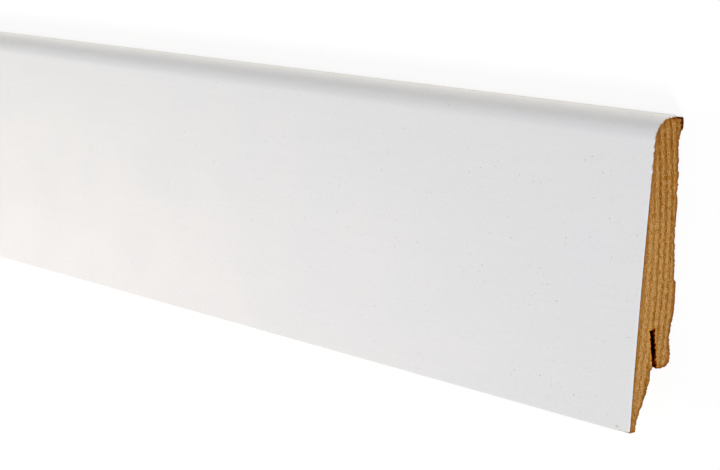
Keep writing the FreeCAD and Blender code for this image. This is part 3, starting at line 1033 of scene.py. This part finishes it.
def white_floor():
    """A plain white floor that keeps a faint shadow."""
    mesh = bpy.data.meshes.new("floor")
    corners = ((-1, -1), (1, -1), (1, 1), (-1, 1))
    mesh.from_pydata([(x * FLOOR_HALF, y * FLOOR_HALF, -FLOOR_DROP) for x, y in corners], [], [(0, 1, 2, 3)])
    floor = bpy.data.objects.new("floor", mesh)
    bpy.context.scene.collection.objects.link(floor)
    material = bpy.data.materials.new("white floor")
    material.use_nodes = True
    tree = material.node_tree
    tree.nodes.clear()
    plain = place(tree, "ShaderNodeBsdfDiffuse", {"Color": FLOOR_GREY}).outputs[0]
    # Painted light: the floor glows warm onto the board
    warm_glow = place(tree, "ShaderNodeEmission", {"Color": FLOOR_WARM_GLOW, "Strength": 1.0}).outputs[0]
    grey_and_glow = place(tree, "ShaderNodeAddShader", {0: plain, 1: warm_glow}).outputs[0]
    lit = place(tree, "ShaderNodeBsdfDiffuse", {"Color": FLOOR_LIT}).outputs[0]
    glow = place(tree, "ShaderNodeEmission", {"Color": WHITE, "Strength": FLOOR_GLOW}).outputs[0]
    shown = place(tree, "ShaderNodeAddShader", {0: lit, 1: glow}).outputs[0]
    both = place(tree, "ShaderNodeMixShader", {0: seen_directly(tree), 1: grey_and_glow, 2: shown}).outputs[0]
    place(tree, "ShaderNodeOutputMaterial", {"Surface": both})
    mesh.materials.append(material)


def soft_world():
    """Even light from all round, with white behind the board."""
    world = bpy.data.worlds.new("soft room")
    world.use_nodes = True
    bpy.context.scene.world = world
    tree = world.node_tree
    tree.nodes.clear()
    room = place(tree, "ShaderNodeBackground", {"Color": AMBIENT, "Strength": 1.0}).outputs[0]
    white = place(tree, "ShaderNodeBackground", {"Color": WHITE, "Strength": 1.0}).outputs[0]
    both = place(tree, "ShaderNodeMixShader", {0: seen_directly(tree), 1: room, 2: white}).outputs[0]
    place(tree, "ShaderNodeOutputWorld", {"Surface": both})


# Distant lamps: name, direction towards the lamp, level, colour and how wide it looks in degrees.
# At level 1 a lamp would by itself light a white surface that faces it to plain white.
LAMPS = (
    ("key", (0.45, -0.62, 0.65), 0.78, (0.91, 0.96, 1.0), 20),
    ("nose_side", (0.0, 1.0, 0.06), 0.32, (0.92, 0.98, 1.0), 8),
    ("far_left", (-0.93, -0.1, 0.35), 0.1, (1.0, 0.9, 0.73), 45),
    ("warm_left", (-0.8, -0.25, 0.5), 0.197, (1.0, 0.797, 0.677), 20),
)
LAMP_DISTANCE = 3
PANEL_PLACE = (0.3, -0.1, 0.5)
PANEL_TARGET = (0.8, 0.0, 0.0)
PANEL_WIDTH = 0.4
PANEL_WATTS = 0.36
PANEL_COLOUR = (1.0, 0.88, 0.45)

# The photograph's viewpoint set over to the lying board: its place in metres, and its three axes
LENS = 95.0
SENSOR_WIDTH = 36.0
NEAREST_SEEN = 0.01
CAMERA_PLACE = (1.494598, 0.094037, 0.382072)
CAMERA_RIGHT = (0.67572847, 0.01884216, -0.73690977)
CAMERA_UPWARD = (-0.14394036, 0.98380257, -0.10683483)
CAMERA_BACK = (0.72296072, 0.1782624, 0.66749555)


def new_light(name, kind, energy, colour, location, towards):
    """A light at a place, shining away from a direction."""
    light = bpy.data.lights.new(name, kind)
    light.energy = energy
    light.color = colour
    piece = bpy.data.objects.new(name, light)
    piece.location = location
    piece.rotation_euler = towards.to_track_quat("Z", "Y").to_euler()
    bpy.context.scene.collection.objects.link(piece)
    return light


def add_lamps():
    """The distant lamps, and one square panel of light."""
    for name, towards, level, colour, spread in LAMPS:
        way = Vector(towards)
        lamp = new_light(name, "SUN", level * math.pi, colour, way.normalized() * LAMP_DISTANCE, way)
        lamp.angle = math.radians(spread)
    way = Vector(PANEL_PLACE) - Vector(PANEL_TARGET)
    panel = new_light("left_panel", "AREA", PANEL_WATTS, PANEL_COLOUR, PANEL_PLACE, way)
    panel.size = PANEL_WIDTH


def set_camera():
    """The photograph's viewpoint, looking down on the board's sawn end."""
    data = bpy.data.cameras.new("camera")
    data.lens = LENS
    data.sensor_width = SENSOR_WIDTH
    data.clip_start = NEAREST_SEEN
    camera = bpy.data.objects.new("camera", data)
    turn = Matrix((CAMERA_RIGHT, CAMERA_UPWARD, CAMERA_BACK)).transposed().to_4x4()
    camera.matrix_world = Matrix.Translation(CAMERA_PLACE) @ turn
    bpy.context.scene.collection.objects.link(camera)
    bpy.context.scene.camera = camera


set_camera()
bpy.context.scene.view_settings.view_transform = "Standard"
soft_world()
add_lamps()
white_floor()

core = build_core()
core.data.materials.append(raw_wood())
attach(core, "root")
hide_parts("wood_core")

foil = build_foil()
foil.data.materials.append(satin_foil())
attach(foil, "root")
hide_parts("decor_foil")
